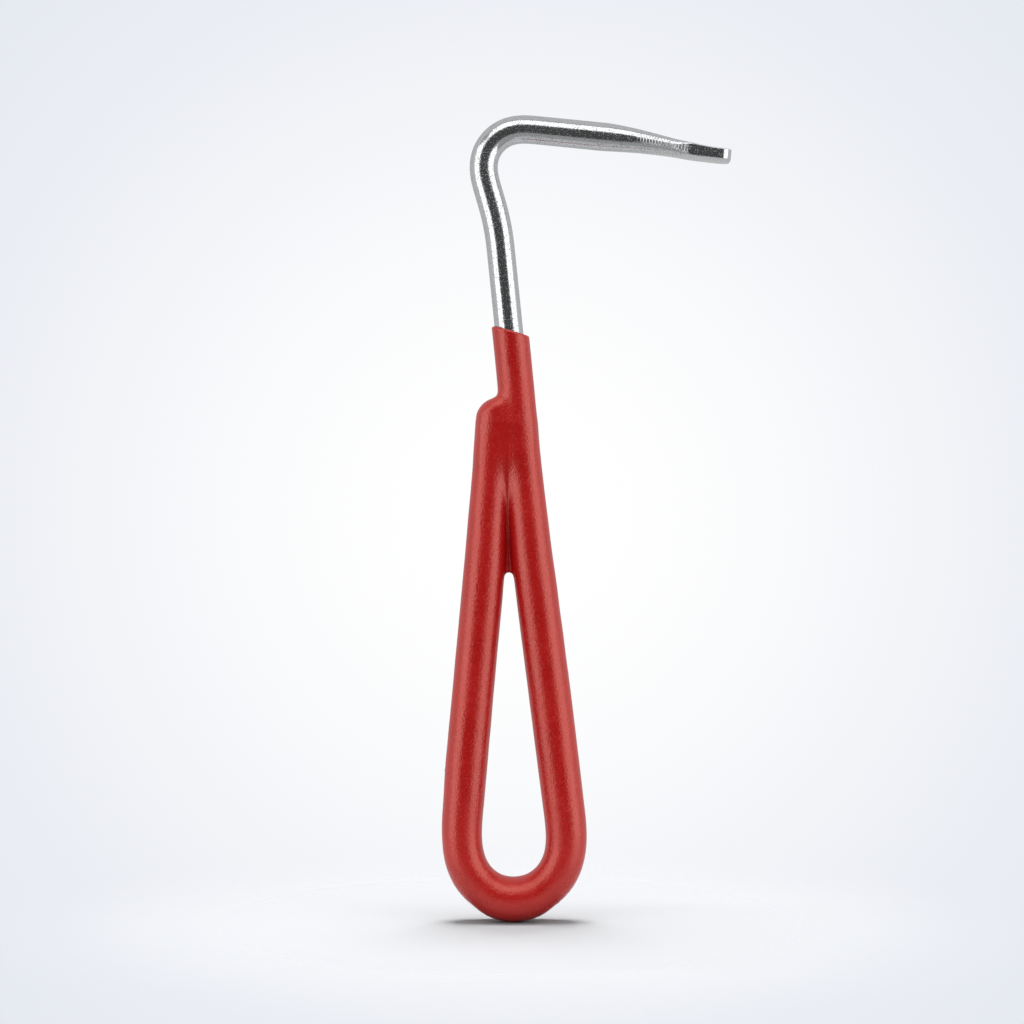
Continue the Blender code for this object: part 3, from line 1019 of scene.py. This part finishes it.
def softbox(name, place, target, width, height, radiance, only_on=None):
    """A rectangular lamp that faces the target, and lights everything or one object only."""
    drop_old(name)
    data = bpy.data.lights.new(name, "AREA")
    data.shape = "RECTANGLE"
    data.size, data.size_y = width, height
    data.energy = radiance * math.pi * width * height
    lamp = bpy.data.objects.new(name, data)
    bpy.context.scene.collection.objects.link(lamp)
    lamp.location = place
    lamp.rotation_euler = (target - place).to_track_quat("-Z", "Y").to_euler()
    lamp.visible_camera = False
    if only_on:
        lamp.visible_glossy = False
        lit = bpy.data.collections.get(name) or bpy.data.collections.new(name)
        if only_on.name not in lit.objects:
            lit.objects.link(only_on)
        lamp.light_linking.receiver_collection = lit


# Angles off straight behind the pick between which the backdrop turns to its outer colour, a painted
# falloff of light from its pale middle.
BACKDROP_LIGHT_FALLOFF = (math.radians(1.0), math.radians(17.0))
# The room's brightness from straight in front of the pick (-1) to straight behind it (1).
ROOM_SHADES = (
    (-1.0, 0.085),
    (-0.86, 0.085),
    (-0.8, 0.5),
    (-0.28, 0.5),
    (-0.2, 0.28),
    (-0.08, 0.85),
    (0.5, 0.8),
    (1.0, 0.65),
)


def build_world(stage):
    """A pale room, darker towards the front where nothing is lit, and a backdrop for the camera
    whose pale middle and darker edge are a painted pool of light.
    """
    world = bpy.data.worlds.get("pale_room") or bpy.data.worlds.new("pale_room")
    bpy.context.scene.world = world
    world.use_nodes = True
    tree = world.node_tree
    tree.nodes.clear()
    way = tree.nodes.new("ShaderNodeTexCoord").outputs["Generated"]
    split = tree.nodes.new("ShaderNodeSeparateXYZ")
    tree.links.new(way, split.inputs[0])
    off_axis = arithmetic(tree, "ARCCOSINE", split.outputs["Y"], 0.0)
    off_axis = ranged(tree, off_axis, *BACKDROP_LIGHT_FALLOFF, 0.0, 1.0)
    # Camera rays see a painted backdrop: a painted pool of light, pale straight behind the pick and
    # darker further out.
    painted_backdrop = colour_mix(tree, off_axis, stage.backdrop, stage.backdrop_shaded_edge)
    ramp = tree.nodes.new("ShaderNodeValToRGB")
    elements = ramp.color_ramp.elements
    while len(elements) < len(ROOM_SHADES):
        elements.new(0.5)
    for element, (front_to_back, shade) in zip(elements, ROOM_SHADES):
        element.position = (front_to_back + 1.0) / 2.0
        element.color = (shade, shade, shade, 1.0)
    half = arithmetic(tree, "MULTIPLY", arithmetic(tree, "ADD", split.outputs["Y"], 1.0), 0.5)
    tree.links.new(half, ramp.inputs[0])
    surround = ramp.outputs[0]
    backgrounds = []
    for socket in (painted_backdrop, surround):
        node = tree.nodes.new("ShaderNodeBackground")
        tree.links.new(socket, node.inputs["Color"])
        backgrounds.append(node.outputs[0])
    path = tree.nodes.new("ShaderNodeLightPath")
    choose = tree.nodes.new("ShaderNodeMixShader")
    tree.links.new(path.outputs["Is Camera Ray"], choose.inputs[0])
    tree.links.new(backgrounds[1], choose.inputs[1])
    tree.links.new(backgrounds[0], choose.inputs[2])
    output = tree.nodes.new("ShaderNodeOutputWorld")
    tree.links.new(choose.outputs[0], output.inputs[0])


def build_camera(stage):
    """A level camera that sees field_width across at the pick's plane."""
    drop_old("camera")
    data = bpy.data.cameras.new("camera")
    data.lens = data.sensor_width * stage.camera_distance / stage.field_width
    data.clip_start = 0.01
    camera = bpy.data.objects.new("camera", data)
    bpy.context.scene.collection.objects.link(camera)
    camera.location = (stage.camera_x, -stage.camera_distance, stage.camera_z)
    camera.rotation_euler = (math.pi / 2.0, 0.0, 0.0)
    bpy.context.scene.camera = camera


# Each box is (name, degrees round from the front, degrees up, width, height, radiance).
SOFTBOXES = (
    ("softbox_left", -59.0, 8.0, 0.68, 1.0, 1.85),
    ("softbox_right", 62.0, 8.0, 0.74, 1.0, 1.85),
    ("softbox_top", 0.0, 57.0, 1.1, 0.6, 1.75),
)
SOFTBOX_REACH = 0.9
# The lamp that lights only the table: its place over the pick, its side and its radiance.
OVERHEAD_PLACE, OVERHEAD_SIDE, OVERHEAD_RADIANCE = Vector((0.0, 0.08, 0.9)), 0.4, 62.0


def build_stage(settings):
    stage = settings.stage
    floor = build_floor(stage)
    build_world(stage)
    middle = Vector((stage.camera_x, 0.0, stage.camera_z))
    for name, around, up, width, height, radiance in SOFTBOXES:
        around, up = math.radians(around), math.radians(up)
        level = math.cos(up)
        way = Vector((math.sin(around) * level, -math.cos(around) * level, math.sin(up)))
        softbox(name, middle + way * SOFTBOX_REACH, middle, width, height, radiance)
    overhead, side = middle + OVERHEAD_PLACE, OVERHEAD_SIDE
    softbox("overhead", overhead, middle, side, side, OVERHEAD_RADIANCE, only_on=floor)
    build_camera(stage)
    bpy.context.scene.view_settings.view_transform = "Standard"


# ---------------------------------------------------------------- the add-on


class HoofPickSettings(bpy.types.PropertyGroup):
    """Everything that can be changed about the pick."""

    wire: bpy.props.PointerProperty(type=WireSettings, name="Wire", description="The bent rod")
    blade: bpy.props.PointerProperty(type=BladeSettings, name="Blade", description="The blade")
    grip: bpy.props.PointerProperty(type=GripSettings, name="Grip", description="The dipped grip")
    finish: bpy.props.PointerProperty(type=FinishSettings, name="Finish", description="Colours")
    stage: bpy.props.PointerProperty(type=StageSettings, name="Stage", description="The table")


class HOOFPICK_OT_rod(bpy.types.Operator):
    """Bend the rod and press its blade"""

    bl_idname = "hoof_pick.rod"
    bl_label = "Bent Rod"

    def execute(self, context):
        build_rod(context.scene.hoof_pick)
        return {"FINISHED"}


class HOOFPICK_OT_beads(bpy.types.Operator):
    """Give the two weld beads their scaled metal"""

    bl_idname = "hoof_pick.beads"
    bl_label = "Weld Beads"

    def execute(self, context):
        finish_beads(context.scene.hoof_pick)
        return {"FINISHED"}


class HOOFPICK_OT_grip(bpy.types.Operator):
    """Dip the loop in plastic"""

    bl_idname = "hoof_pick.grip"
    bl_label = "Dipped Grip"

    def execute(self, context):
        build_grip(context.scene.hoof_pick)
        return {"FINISHED"}


class HOOFPICK_OT_stage(bpy.types.Operator):
    """Set the table, the lights and the camera"""

    bl_idname = "hoof_pick.stage"
    bl_label = "Stage"

    def execute(self, context):
        build_stage(context.scene.hoof_pick)
        return {"FINISHED"}


class HOOFPICK_PT_panel(bpy.types.Panel):
    """The pick's pieces, in the order they are made"""

    bl_idname = "HOOFPICK_PT_panel"
    bl_label = "Hoof Pick"
    bl_space_type = "VIEW_3D"
    bl_region_type = "UI"
    bl_category = "Hoof Pick"

    def draw(self, context):
        for operator in OPERATORS:
            self.layout.operator(operator.bl_idname)
        for name in ("wire", "blade", "grip", "finish", "stage"):
            group = getattr(context.scene.hoof_pick, name)
            box = self.layout.box()
            box.label(text=name.title())
            for setting in group.bl_rna.properties:
                if setting.identifier not in ("rna_type", "name"):
                    box.prop(group, setting.identifier)


OPERATORS = (HOOFPICK_OT_rod, HOOFPICK_OT_beads, HOOFPICK_OT_grip, HOOFPICK_OT_stage)
CLASSES = (
    WireSettings,
    BladeSettings,
    GripSettings,
    FinishSettings,
    StageSettings,
    HoofPickSettings,
    *OPERATORS,
    HOOFPICK_PT_panel,
)


def register():
    for cls in CLASSES:
        bpy.utils.register_class(cls)
    bpy.types.Scene.hoof_pick = bpy.props.PointerProperty(
        type=HoofPickSettings, name="Hoof Pick", description="Settings of the hoof pick"
    )


def unregister():
    del bpy.types.Scene.hoof_pick
    for cls in reversed(CLASSES):
        bpy.utils.unregister_class(cls)


def main():
    register()
    bpy.ops.hoof_pick.rod()
    bpy.ops.hoof_pick.beads()
    bpy.ops.hoof_pick.grip()
    bpy.ops.hoof_pick.stage()


if __name__ == "__main__":
    main()
